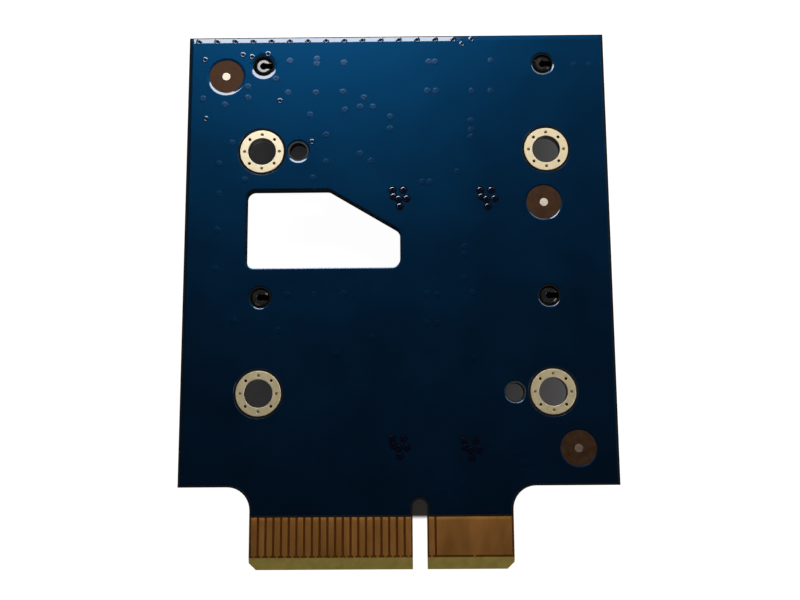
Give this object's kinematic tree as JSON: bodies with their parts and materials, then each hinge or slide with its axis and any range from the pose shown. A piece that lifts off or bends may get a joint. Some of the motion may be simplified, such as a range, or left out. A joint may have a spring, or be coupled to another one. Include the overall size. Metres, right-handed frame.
{
  "type": "sata backplane adapter",
  "caption": "Flat circuit card with a keyed card-edge tongue, plated screw holes and a window, carrying paired SATA receptacles on its underside for hot-plug drives.",
  "frame": {"origin": "middle of the card's outline, on the plane of the receptacles' mating faces, on which it lies", "axes": "+X across the card, +Y from the card-edge tongue to the top edge, +Z out of the bare rear face"},
  "size_m": [0.0578, 0.0724, 0.0102],
  "materials": {
    "laminate": "bare woven glass and epoxy laminate, olive brown",
    "solder_mask": "glossy dark blue solder mask over the laminate",
    "gold_plate": "thin gold plate over nickel on copper, slightly matte",
    "housing_plastic": "black glass-filled plastic, moulded satin",
    "contact_metal": "gold-plated copper alloy strip",
    "tin_plate": "matte tin plate",
    "package_epoxy": "black moulded epoxy, fine matte grain",
    "capacitor_ceramic": "tan fired ceramic",
    "resistor_glaze": "black glaze on white ceramic"
  },
  "bodies": {
    "root": {"circuit_board": "solder_mask", "mount_land_upper_left": "gold_plate", "mount_land_upper_right": "gold_plate", "mount_land_lower_left": "gold_plate", "mount_land_lower_right": "gold_plate", "fiducial_dot_1": "gold_plate", "fiducial_dot_2": "gold_plate", "fiducial_dot_3": "gold_plate", "edge_contacts_front": "gold_plate", "edge_contacts_rear": "gold_plate", "capacitor_bodies": "capacitor_ceramic", "capacitor_ends": "tin_plate", "resistor_bodies": "resistor_glaze", "resistor_ends": "tin_plate", "upper_socket_housing": "housing_plastic", "upper_socket_signal_contacts": "contact_metal", "upper_socket_power_contacts": "contact_metal", "upper_socket_tabs": "tin_plate", "upper_power_switch_1_case": "package_epoxy", "upper_power_switch_1_leads": "tin_plate", "upper_power_switch_2_case": "package_epoxy", "upper_power_switch_2_leads": "tin_plate", "lower_socket_housing": "housing_plastic", "lower_socket_signal_contacts": "contact_metal", "lower_socket_power_contacts": "contact_metal", "lower_socket_tabs": "tin_plate", "lower_power_switch_1_case": "package_epoxy", "lower_power_switch_1_leads": "tin_plate", "lower_power_switch_2_case": "package_epoxy", "lower_power_switch_2_leads": "tin_plate"}
  },
  "joints": []
}
